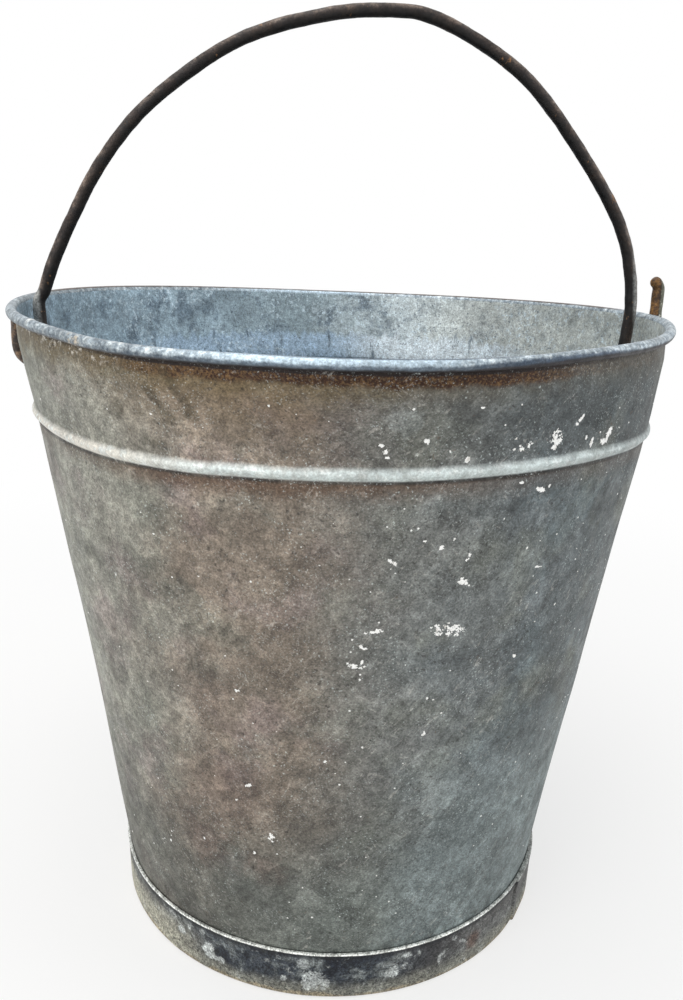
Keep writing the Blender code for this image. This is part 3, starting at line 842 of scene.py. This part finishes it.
def ringMaterial():
    look = footRing
    m = Recipe("footRingZinc", 0.45, worn=True)
    clouds = m.noise(60, 7, 0.7, 0.5)
    color = m.ramp(m.window(clouds, 0.34, 0.66),
                   (0.0, look["dark"]), (0.5, look["middle"]), (1.0, look["light"]))
    # Greyer and browner round to the right, pale at the left end
    right = m.window(m.plus(m.x, m.math("SUBTRACT", clouds, 0.5), 0.05), 0.005, 0.070)
    color = m.cover(color, look["grey"], right, 0.55)
    low = m.plus(m.z, m.swing(70, 6, 0.68), 0.012)
    color = m.mix(m.window(low, 0.0115, 0.0040, (0.0, 0.75)), color, look["lowPale"])
    left = m.times(m.window(m.x, -0.055, -0.090), m.window(low, 0.022, 0.010, (0.15, 0.95)))
    color = m.mix(left, color, look["leftPale"])
    rust = m.spot(304, 0.0130, 0.0070, 0.2, 0.006)
    color = m.cover(color, look["rust"], rust, 0.55)
    # Scuffs drawn where they are, then chance ones
    for angle, height, size, amount in look["scuffs"]:
        wearAndHighlight = m.spot(angle, height, size, 0.7, size * 2.8, wallRadius(height) + 0.0008)
        color = m.cover(color, look["scuff"], wearAndHighlight, amount)
    chance = m.window(m.noise(150, 6, 0.72, 0.6, m.stretch(1.0, 0.8), 4.0), 0.57, 0.64)
    color = m.cover(color, look["smallScuff"], chance, 0.55)
    color = m.mix(m.window(low, 0.0034, 0.0012, (0.0, 0.75)), color, look["ochre"])
    color = m.mix(m.flecks(380, 0.28, 0.7, 0.40, 7.0), color, look["pit"])
    # A dark band just under the lip: painted shade, and dirt
    top = m.math("SUBTRACT", ringHigh.z, m.z)
    wavy = m.plus(top, m.swing(90, 4), 0.0010)
    color = m.mix(m.window(wavy, 0.0045, 0.0014, (0.0, 0.8)), color, look["underLip"])
    # A painted highlight along the lip's upper edge, weaker towards the right
    bright = m.window(m.x, 0.060, 0.098, (1.0, 0.45))
    patchy = m.window(m.noise(110, 5, seed=6.0), 0.3, 0.5, (0.6, 1.0))
    color = m.cover(color, look["wearAndHighlight"], m.window(wavy, 0.0008, 0.0005), bright, patchy)
    color = m.grain(color, 1.9)
    roughness = m.window(m.noise(120, 5), 0.3, 0.7, (0.45, 0.68))
    return m.finish(color, roughness, m.math("ADD", m.noise(420, 5, 0.7), clouds), 0.00028)


def makeFootRing(material):
    f = footRing
    top = ringHigh.z
    topInner = wallRadius(top) + 0.0003
    topOuter = topInner + f["thickness"]
    lowOuter = topOuter - f["draft"]
    bend = (lowOuter - f["bend"], f["bend"])
    proud = topOuter + f["lip"]
    halfProud = topOuter + f["lip"] * 0.4
    lip = [(topInner, top), (topInner + 0.0004, top + 0.0002), (halfProud, top + 0.0001),
           (proud, top - 0.0005), (halfProud, top - 0.0011), (topOuter, top - 0.0018)]

    def between(start, share):
        return start - f["draft"] * share, top * (1 - share) + f["bend"] * share

    side = [between(topOuter, share) for share in (0.25, 0.5, 0.75)]
    rise = [between(topInner, share) for share in (0.7, 0.35)]
    outer = arc(bend, f["bend"], 0, -90, 6)
    turned = [(lowOuter - f["turn"], 0.0), (lowOuter - f["turn"], f["thickness"])]
    inner = arc(bend, f["bend"] - f["thickness"], -90, 0, 4)
    outline = lip + side + outer + turned + inner + rise
    outerPoints = set(range(2, len(lip) + len(side) + len(outer) - 2))

    def change(index, angle, radius, z):
        past = (angle - f["lapAngle"]) % 360
        if index in outerPoints and past <= f["lapFade"]:
            radius += f["thickness"] * (0.5 + 0.5 * math.cos(math.pi * past / f["lapFade"]))
        return radius, z

    angles = evenAngles(f["aroundSteps"], (f["lapAngle"] - 0.3, f["lapAngle"]))
    piece = finishMesh("footRing", revolve(outline, angles, change), [material], "bucket", 50)
    wearDown(piece)
    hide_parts("foot_ring")


# Bottom
bottomDisc = {
    "height": 0.0225,
    "bend": 0.003,
    "sag": 0.0012,
    "dip": 0.0007,
    "aroundSteps": 160,
    "rings": 14,
    "dark": tone(92, 95, 94),
    "light": tone(148, 154, 156),
    "silt": tone(82, 66, 52),
    "rust": tone(104, 70, 46),
    "pit": tone(46, 40, 36),
}


def bottomMaterial():
    look = bottomDisc
    m = Recipe("bottomZinc", 0.45, worn=True)
    clouds = m.noise(36, 7, 0.7, 0.5)
    color = m.ramp(m.window(clouds, 0.3, 0.7), (0.0, look["dark"]), (1.0, look["light"]))
    silt = m.plus(m.reach(), m.swing(40, 6, 0.7), 0.05)
    color = m.mix(m.window(silt, 0.070, 0.105, (0.0, 0.85)), color, look["silt"])
    spots = m.window(m.noise(120, 5, 0.7, seed=2.0), 0.57, 0.64, (0.0, 0.75))
    color = m.mix(spots, color, look["rust"])
    color = m.mix(m.flecks(300, 0.26, 0.7, 0.40, 5.0), color, look["pit"])
    color = m.grain(color, 1.1)
    roughness = m.window(m.noise(100, 5), 0.3, 0.7, (0.5, 0.75))
    return m.finish(color, roughness, m.math("ADD", m.noise(500, 4, 0.7), clouds), 0.0003)


def makeBottom(material):
    d = bottomDisc
    b = bucket
    outerBend = wallRadius(d["height"] - d["bend"]) - b["sheet"] - b["hemPlay"]
    center = (outerBend - d["bend"], d["height"] - d["bend"])
    upper = arc(center, d["bend"], 90, 0, 6)
    lower = arc(center, d["bend"] - b["bottomSheet"], 0, 90, 6)
    foot = b["lift"] + 2.5 * b["sheet"] + b["hemPlay"] + b["bottomSheet"] * 0.5
    footOuter = wallRadius(foot) - b["sheet"] - b["hemPlay"]
    flange = [(footOuter, foot), (footOuter - b["bottomSheet"], foot)]
    edge = upper[0][0]
    dish = []
    for i in range(d["rings"]):
        share = (i + 0.4) / d["rings"]
        dish.append((edge * share, d["height"] - d["sag"] * (1 - share * share)))
    outline = dish + upper + flange + lower + [(r, z - b["bottomSheet"]) for r, z in reversed(dish)]

    def change(index, angle, radius, z):
        a = math.radians(angle)
        dip = d["dip"] * noise.noise(Vector((radius * math.cos(a) * 28, radius * math.sin(a) * 28, 1.0)))
        return radius, z + dip * (1 - smoothStep(edge * 0.8, edge, radius))

    mesh = revolve(outline, evenAngles(d["aroundSteps"]), change, openOutline=True)
    piece = finishMesh("bottomDisc", mesh, [material], "bucket", 40)
    wearDown(piece)
    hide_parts("bottom_disc")


# Bail: an iron rod, bent by hand
bail = {
    "rodRadius": 0.0029,
    "rise": 0.1576,
    "innerBend": 0.0040,
    "outerBend": 0.0080,
    "leftLegGap": 0.0028,
    "rightLegGap": 0.0026,
    "legReach": 0.0035,
    "leftHookReach": 0.1528,
    "leftHookTop": 0.2960,
    "rightHookGap": 0.0003,
    "rightHookTop": 0.3190,
    "tipBend": 0.0050,
    "tipTurn": 48,
    "pitting": 0.00017,
    "sway": 0.0012,
    "sides": 20,
    "step": 0.0012,
    # share of the half span, share of the rise
    "archLeft": ((-0.978, 0.213), (-0.941, 0.300), (-0.880, 0.412), (-0.771, 0.579), (-0.610, 0.743),
                 (-0.343, 0.905), (-0.060, 0.982)),
    "archRight": ((0.149, 0.998), (0.260, 0.986), (0.402, 0.933), (0.575, 0.835), (0.742, 0.678),
                  (0.883, 0.513), (0.953, 0.398), (0.987, 0.295), (0.998, 0.225)),
}

ironLook = {
    "black": tone(18, 15, 16),
    "dark": tone(33, 27, 26),
    "brown": tone(52, 41, 35),
    "worn": tone(90, 74, 62),
    # painted highlight on the side turned to the sky
    "wearAndHighlight": tone(124, 110, 100),
    "ochre": tone(140, 102, 66),
    # pale crust, also used as the painted highlight on the right leg
    "crust": tone(158, 160, 158),
    "hookGreen": tone(106, 108, 94),
    "hookBrown": tone(84, 60, 40),
    "hookRust": tone(134, 98, 54),
    "chips": tone(208, 208, 198),
    "tuckedEnd": tone(128, 104, 82),
}


def ironMaterial():
    look = ironLook
    m = Recipe("rustyIron", 0.35)
    patches = m.noise(75, 7, 0.7, 0.4)
    color = m.ramp(patches, (0.32, look["black"]), (0.48, look["dark"]), (0.60, look["brown"]),
                   (0.74, look["worn"]))
    # Painted light: the side turned to the sky is painted lighter in patches as a highlight, and the side
    # underneath is painted darker as shade, nearly black
    centre = m.vectors("SUBTRACT", m.place, (0, 0, bucket["holeHeight"] + 0.03))
    outward = m.vectors("NORMALIZE", centre.outputs[0])
    normal = m.node("ShaderNodeTexCoord").outputs["Normal"]
    facing = m.vectors("DOT_PRODUCT", outward.outputs[0], normal)
    wearAndHighlight = m.window(m.noise(160, 5, 0.7, seed=2.0), 0.44, 0.62, (0.1, 0.8))
    wearAndHighlight = m.times(wearAndHighlight, m.window(facing.outputs["Value"], 0.0, 0.9))
    color = m.mix(wearAndHighlight, color, look["wearAndHighlight"])
    color = m.shade(color, m.window(facing.outputs["Value"], -0.6, 0.5, (0.30, 1.1)))
    ochre = m.window(m.noise(210, 5, 0.7, seed=6.0), 0.62, 0.68, (0.0, 0.7))
    color = m.mix(ochre, color, look["ochre"])
    # Zinc and lime crust low on the left leg, on the side that faces the wall; on the right leg the same
    # pale tone on its wall side is a painted highlight
    leftFace = m.times(m.window(m.x, -0.1400, -0.1422), m.window(m.z, 0.320, 0.306))
    up = m.math("SUBTRACT", m.z, rollHeight)
    rightLegHighlight = m.window(m.plus(m.x, up, 0.12), 0.1424, 0.1440)
    crust = m.math("MAXIMUM", leftFace, m.times(rightLegHighlight, m.window(m.z, 0.345, 0.312), 0.7))
    crust = m.times(crust, m.window(m.noise(260, 6, 0.7, seed=9.0), 0.34, 0.50, (0.25, 1.0)))
    legs = m.window(m.math("ABSOLUTE", m.x), 0.1492, 0.1484)
    color = m.cover(color, look["crust"], crust, legs, 0.85)
    # The right hook: orange rust on its inner side, grey-green with white chips outside
    hook = m.window(m.x, 0.1500, 0.1512)
    inner = m.times(hook, m.window(m.x, 0.1562, 0.1546))
    inner = m.times(inner, m.window(m.noise(150, 4), 0.35, 0.55, (0.5, 0.95)))
    outer = m.times(hook, m.window(m.x, 0.1552, 0.1564), 0.8)
    color = m.mix(outer, color, look["hookGreen"])
    patchy = m.window(m.noise(300, 5, 0.7, seed=15.0), 0.44, 0.56)
    rusted = m.mix(patchy, look["hookBrown"], look["hookRust"])
    color = m.mix(inner, color, rusted)
    chips = m.times(outer, m.window(m.noise(420, 4, 0.6, seed=12.0), 0.58, 0.62))
    color = m.mix(chips, color, look["chips"])
    tuck = m.times(m.window(m.x, -0.1485, -0.1500), m.window(m.noise(260, 5, seed=14.0), 0.48, 0.60))
    color = m.cover(color, look["tuckedEnd"], tuck, 0.7)
    color = m.grain(color, 1.3)
    roughness = m.window(m.noise(200, 5), 0.3, 0.7, (0.40, 0.70))
    height = m.math("ADD", m.noise(260, 6, 0.7), m.times(patches, 0.6))
    return m.finish(color, roughness, height, 0.0005)


# Catmull-Rom curve; its first and last points only guide it
def smoothRun(points, step):
    run = []
    for before, start, stop, after in zip(points, points[1:], points[2:], points[3:]):
        steps = max(2, round((stop - start).length / step))
        for i in range(steps):
            t = i / steps
            bend = (stop - before) * t + (2 * before - 5 * start + 4 * stop - after) * t ** 2
            run.append(0.5 * (2 * start + bend + (3 * start - before - 3 * stop + after) * t ** 3))
    run.append(points[-2])
    return run


# From the leg's foot through the hole to the hook's rounded tip
def bailEnd(side, hook, hookTop, turn):
    b = bail
    rod = b["rodRadius"]
    leg = wallRadius(bucket["holeHeight"]) - bucket["sheet"] - b["legReach"]
    innerCenter = (leg + b["innerBend"], bucket["holeHeight"] + b["innerBend"])
    outerCenter = (hook - b["outerBend"], bucket["holeHeight"] + b["outerBend"])
    points = arc(innerCenter, b["innerBend"], 180, 270, 12)
    points += arc(outerCenter, b["outerBend"], 270, 360, 16)
    if turn:
        tipCenter = (hook - b["tipBend"], hookTop - rod - b["tipBend"] * math.sin(math.radians(turn)))
        tip = arc(tipCenter, b["tipBend"], 0, turn, 10)
    else:
        tip = [(hook, hookTop - rod * 0.9)]
    low = points[-1][1]
    rows = round((tip[0][1] - low) / b["step"])
    points += [(hook, low + (tip[0][1] - low) * i / rows) for i in range(1, rows)]
    points += tip
    last = Vector(points[-1])
    along = (last - Vector(points[-2])).normalized()
    radii = [1.0] * len(points)
    for i in range(1, 8):
        angle = math.pi / 2 * i / 8
        points.append(tuple(last + along * rod * math.sin(angle) * 0.9))
        radii.append(math.cos(angle) ** 0.8)
    return [Vector((side * x, 0, z)) for x, z in points], radii


def makeBail(material):
    b = bail
    rod = b["rodRadius"]
    left, leftRadii = bailEnd(-1, b["leftHookReach"], b["leftHookTop"], 0)
    right, rightRadii = bailEnd(1, rimRadius + b["rightHookGap"] + rod, b["rightHookTop"], b["tipTurn"])
    inside = rollCenter - bucket["rollRadius"] - rod
    leftRim = Vector((b["leftLegGap"] - inside, 0, rollHeight))
    rightRim = Vector((inside - b["rightLegGap"], 0, rollHeight))
    span = (rightRim.x - leftRim.x) / 2
    below = Vector((0, 0, -b["innerBend"]))
    guides = [left[0] + below, left[0], leftRim]
    for x, z in b["archLeft"] + b["archRight"]:
        guides.append(Vector((x * span, 0, bucket["holeHeight"] + z * b["rise"])))
    guides += [rightRim, right[0], right[0] + below]
    arch = smoothRun(guides, b["step"])
    path = left[:0:-1] + arch + right[1:]
    radii = leftRadii[:0:-1] + [1.0] * len(arch) + rightRadii[1:]
    mesh = bmesh.new()
    rings = []
    square = Vector((0, 1, 0))
    for i, point in enumerate(path):
        before = path[max(i - 1, 0)]
        after = path[min(i + 1, len(path) - 1)]
        side = square.cross((after - before).normalized())
        sway = b["sway"] * noise.noise(point * 14) * smoothStep(0.31, 0.36, point.z)
        ring = []
        for j in range(b["sides"]):
            a = 2 * math.pi * j / b["sides"]
            out = side * math.cos(a) + square * math.sin(a)
            spot = point + out * rod
            pitted = noise.noise(spot * 170) + 0.5 * noise.noise(spot * 520) + noise.noise(spot * 45)
            reach = (rod + b["pitting"] * pitted) * radii[i]
            ring.append(mesh.verts.new(point + out * reach + square * sway))
        rings.append(ring)
    for ring, after in zip(rings, rings[1:]):
        for j in range(b["sides"]):
            k = (j + 1) % b["sides"]
            mesh.faces.new((ring[j], ring[k], after[k], after[j]))
    mesh.faces.new(rings[0][::-1])
    mesh.faces.new(rings[-1])
    piece = finishMesh("ironBail", mesh, [material], "bail", 70)
    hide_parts("bail")


# Splashes of white paint on the outside
paint = {
    "thickness": 0.00016,
    "grid": 0.00030,
    # angle, height, half width, half tallness, lean, how broken up
    "splashes": (
        (298.0, 0.2662, 0.0026, 0.0032, 14, 1.1), (297.7, 0.2625, 0.0012, 0.0012, 0, 1.0),
        (310.5, 0.2636, 0.0015, 0.0034, -34, 0.9), (309.2, 0.2612, 0.0016, 0.0012, -20, 1.1),
        (306.2, 0.2618, 0.0007, 0.0021, -10, 0.9), (304.6, 0.2644, 0.0005, 0.0009, 0, 0.8),
        (302.7, 0.2731, 0.0007, 0.0024, -42, 0.9), (301.9, 0.2712, 0.0009, 0.0008, 0, 0.9),
        (291.6, 0.2639, 0.0010, 0.0013, 10, 1.3), (293.0, 0.2649, 0.0008, 0.0012, -30, 1.1),
        (290.4, 0.2634, 0.0007, 0.0005, 0, 1.0), (290.5, 0.2679, 0.0010, 0.0007, 0, 1.0),
        (283.1, 0.2609, 0.0007, 0.0013, -20, 0.9), (270.8, 0.2672, 0.0011, 0.0008, -20, 0.7),
        (271.4, 0.2650, 0.0009, 0.0009, 20, 0.8), (271.7, 0.2629, 0.0009, 0.0006, 0, 0.8),
        (277.1, 0.2688, 0.0009, 0.0012, 25, 0.7), (284.8, 0.2825, 0.0012, 0.0004, 0, 1.1),
        (296.5, 0.2465, 0.0024, 0.0009, -18, 0.7), (298.2, 0.2474, 0.0006, 0.0012, -30, 0.6),
        (292.6, 0.2502, 0.0011, 0.0005, -12, 0.8),
        (280.8, 0.2277, 0.0010, 0.0009, 0, 1.2), (278.0, 0.2304, 0.0011, 0.0008, -20, 0.9),
        (273.1, 0.2230, 0.0016, 0.0006, -34, 1.0), (273.7, 0.2219, 0.0005, 0.0011, 20, 0.9),
        (285.5, 0.2234, 0.0007, 0.0024, -24, 1.0), (285.0, 0.2128, 0.0019, 0.0013, -22, 1.0),
        (285.6, 0.2112, 0.0006, 0.0013, 0, 1.0), (299.4, 0.2135, 0.0020, 0.0004, -8, 1.2),
        (298.7, 0.1727, 0.0009, 0.0010, 0, 0.8), (306.8, 0.1928, 0.0006, 0.0008, -30, 1.0),
        (284.2, 0.1929, 0.0042, 0.0013, -18, 2.8), (283.4, 0.1921, 0.0056, 0.0020, -12, 3.6),
        (270.8, 0.1929, 0.0032, 0.0006, 3, 1.2), (272.0, 0.1937, 0.0014, 0.0006, -12, 1.2),
        (269.6, 0.1865, 0.0019, 0.0006, -30, 1.1), (268.6, 0.1780, 0.0030, 0.0009, -10, 1.2),
        (269.5, 0.1793, 0.0006, 0.0016, -10, 1.1), (267.2, 0.1792, 0.0010, 0.0006, -20, 1.2),
        (281.7, 0.1440, 0.0008, 0.0009, 0, 0.8), (263.8, 0.1321, 0.0007, 0.0007, 0, 0.8),
        (247.9, 0.1620, 0.0010, 0.0007, 0, 0.8), (248.6, 0.1150, 0.0014, 0.0012, 20, 1.3),
        (246.0, 0.1063, 0.0006, 0.0006, 0, 0.8), (253.3, 0.0892, 0.0018, 0.0017, -20, 1.5),
        (249.3, 0.0789, 0.0006, 0.0007, 0, 0.8), (226.6, 0.0673, 0.0005, 0.0006, 0, 0.8),
        (237.3, 0.0789, 0.0005, 0.0006, 0, 0.8), (262, 0.0460, 0.0006, 0.0006, 0, 1.0),
        (62, 0.2150, 0.0022, 0.0015, 30, 1.4), (121, 0.1600, 0.0016, 0.0011, -10, 1.3),
        (196, 0.2350, 0.0013, 0.0010, 0, 1.2), (341, 0.1300, 0.0012, 0.0016, 15, 1.3),
    ),
    "specks": 170,
    "seed": 4,
    "shadeTone": tone(222, 221, 217),
    "whiteTone": tone(252, 252, 250),
    "dirtTone": tone(170, 158, 142),
}


def paintMaterial():
    m = Recipe("dryWhitePaint", 0.0, 0.4)
    color = m.ramp(m.noise(600, 4, 0.6), (0.32, paint["shadeTone"]), (0.50, paint["whiteTone"]))
    dirt = m.window(m.noise(230, 4, 0.6, seed=3.0), 0.58, 0.68, (0.0, 0.4))
    color = m.mix(dirt, color, paint["dirtTone"])
    return m.finish(color, m.window(m.noise(300, 3), 0.3, 0.7, (0.55, 0.8)), m.noise(900, 3), 0.0001)


def onWall(angle, z, out):
    a = math.radians(angle)
    r = wallRadius(z) + out
    return weather((r * math.cos(a), r * math.sin(a), z))


# One splash: the cells of a fine grid that its ragged shape covers, raised a little off the wall
def addSplash(mesh, splash, rng):
    angle, height, width, tall, lean, broken = splash
    step = min(paint["grid"], min(width, tall) * 0.45)
    reach = int(1.5 * max(width, tall) / step) + 1
    seed = rng.uniform(0, 50)
    c, s = math.cos(math.radians(lean)), math.sin(math.radians(lean))
    kept = set()
    for i in range(-reach, reach):
        for j in range(-reach, reach):
            u, v = (i + 0.5) * step, (j + 0.5) * step
            away = ((u * c + v * s) / width) ** 2 + ((v * c - u * s) / tall) ** 2
            if away > 2.4:
                continue
            rough = noise.noise(Vector((u * 650, v * 650, seed)))
            rough += 0.7 * noise.noise(Vector((u * 1700, v * 1700, seed + 9)))
            if 1 - away + broken * 1.7 * rough > 0.28 * broken:
                kept.add((i, j))
    perMetre = math.degrees(1 / wallRadius(height))
    corners = {}

    def corner(i, j):
        if (i, j) not in corners:
            whole = all(cell in kept for cell in ((i, j), (i - 1, j), (i, j - 1), (i - 1, j - 1)))
            u = (i + rng.uniform(-0.3, 0.3)) * step
            v = (j + rng.uniform(-0.3, 0.3)) * step
            up = paint["thickness"] * (rng.uniform(0.8, 1.3) if whole else 0.45)
            a = angle + u * perMetre
            corners[i, j] = (mesh.verts.new(onWall(a, height + v, up)),
                             mesh.verts.new(onWall(a, height + v, -0.00015)))
        return corners[i, j]

    for i, j in sorted(kept):
        around = [corner(i, j), corner(i + 1, j), corner(i + 1, j + 1), corner(i, j + 1)]
        beyond = [(i, j - 1), (i + 1, j), (i, j + 1), (i - 1, j)]
        mesh.faces.new([top for top, low in around])
        mesh.faces.new([low for top, low in reversed(around)])
        for k in range(4):
            if beyond[k] not in kept:
                first, second = around[k], around[(k + 1) % 4]
                mesh.faces.new((first[1], second[1], second[0], first[0]))


def makePaint(material):
    rng = random.Random(paint["seed"])
    mesh = bmesh.new()
    for splash in paint["splashes"]:
        addSplash(mesh, splash, rng)
    for i in range(paint["specks"]):
        size = rng.uniform(0.00022, 0.00050)
        z = rng.uniform(0.035, 0.288)
        if abs(z - bucket["beadHeight"]) < 0.006:
            continue
        addSplash(mesh, (rng.gauss(275, 38), z, size, size * rng.uniform(0.6, 1.2), 0, 0.6), rng)
    piece = finishMesh("paintSplashes", mesh, [material], "bucket", 80)


studio = {
    "floorTone": tone(246, 246, 245),
    "floorShade": tone(240, 240, 238),
    "floorSize": 12.0,
    "floorGlow": 0.62,             # how much of the floor by the bucket the camera sees as plain white
    "worldLight": 0.60,
    "camera": {
        "place": (-0.03485, -0.44287, 0.33620),
        "turn": -4.791,
        "pitch": 16.472,
        "roll": 1.505,
        "lens": 32.695,
    },
    # place, aim, size, power, colour
    "lamps": {
        "overhead": ((-0.25, -0.15, 1.35), (0, 0, 0.15), 1.3, 8.4, (1.0, 1.0, 1.0)),
        "frontLeft": ((-1.1, -1.2, 0.75), (0, 0, 0.18), 1.1, 7.4, (1.0, 0.98, 0.95)),
        "right": ((1.3, -0.3, 0.6), (0, 0, 0.18), 0.9, 4.0, (0.95, 0.98, 1.0)),
    },
}


# Pale floor that keeps the shadow near the bucket and runs out into white
def floorMaterial():
    s = studio
    m = Recipe("paleFloor", 0.0, 0.2)
    color = m.mix(m.window(m.noise(3, 2), 0.3, 0.7, (0.0, 0.4)), s["floorTone"], s["floorShade"])
    material = m.finish(color, m.window(m.noise(5, 2), 0.3, 0.7, (0.75, 0.85)))
    glow = m.window(m.reach(), 0.20, 0.85, (s["floorGlow"], 1.0))
    seen = m.node("ShaderNodeLightPath").outputs["Is Camera Ray"]
    white = m.node("ShaderNodeEmission")
    blend = m.node("ShaderNodeMixShader")
    m.join(m.times(glow, seen), blend.inputs[0])
    m.join(m.shader.outputs[0], blend.inputs[1])
    m.join(white.outputs[0], blend.inputs[2])
    m.join(blend.outputs[0], m.tree.nodes["Material Output"].inputs["Surface"])
    return material


def makeStudio():
    s = studio
    bpy.ops.mesh.primitive_plane_add(size=s["floorSize"])
    floor = bpy.context.object
    floor.name = "floor"
    floor.data.materials.append(floorMaterial())
    for name, (place, aim, size, power, color) in s["lamps"].items():
        lamp = bpy.data.lights.new(name, "AREA")
        lamp.shape = "DISK"
        lamp.size = size
        lamp.energy = power
        lamp.color = color
        holder = bpy.data.objects.new(name, lamp)
        holder.location = place
        holder.rotation_euler = (Vector(aim) - Vector(place)).to_track_quat("-Z", "Y").to_euler()
        bpy.context.collection.objects.link(holder)
    world = bpy.data.worlds.new("whiteRoom")
    bpy.context.scene.world = world
    world.use_nodes = True
    tree = world.node_tree
    background = tree.nodes["Background"]
    background.inputs["Color"].default_value = (1, 1, 1, 1)
    path = tree.nodes.new("ShaderNodeLightPath")
    seen = tree.nodes.new("ShaderNodeMath")
    seen.operation = "MAXIMUM"
    tree.links.new(path.outputs["Is Camera Ray"], seen.inputs[0])
    tree.links.new(path.outputs["Is Glossy Ray"], seen.inputs[1])
    strength = tree.nodes.new("ShaderNodeMapRange")
    tree.links.new(seen.outputs[0], strength.inputs["Value"])
    strength.inputs["To Min"].default_value = s["worldLight"]
    strength.inputs["To Max"].default_value = 1.0
    tree.links.new(strength.outputs["Result"], background.inputs["Strength"])


def makeCamera():
    c = studio["camera"]
    data = bpy.data.cameras.new("photoView")
    data.lens = c["lens"]
    camera = bpy.data.objects.new("photoView", data)
    turn = Matrix.Rotation(math.radians(c["turn"]), 4, "Z")
    pitch = Matrix.Rotation(math.radians(90 - c["pitch"]), 4, "X")
    roll = Matrix.Rotation(math.radians(c["roll"]), 4, "Z")
    camera.matrix_world = Matrix.Translation(c["place"]) @ turn @ pitch @ roll
    bpy.context.collection.objects.link(camera)
    bpy.context.scene.camera = camera


makeStudio()
makeCamera()
print("studio and camera ready")
makeBody([zincOutside(), zincInside(), zincRoll()])
makeRimWire()
print("body and rim wire done")
makeFootRing(ringMaterial())
makeBottom(bottomMaterial())
print("foot ring and bottom done")
makeBail(ironMaterial())
print("bail done")
makePaint(paintMaterial())
print("paint splashes done")

bpy.context.scene.view_settings.view_transform = "Standard"
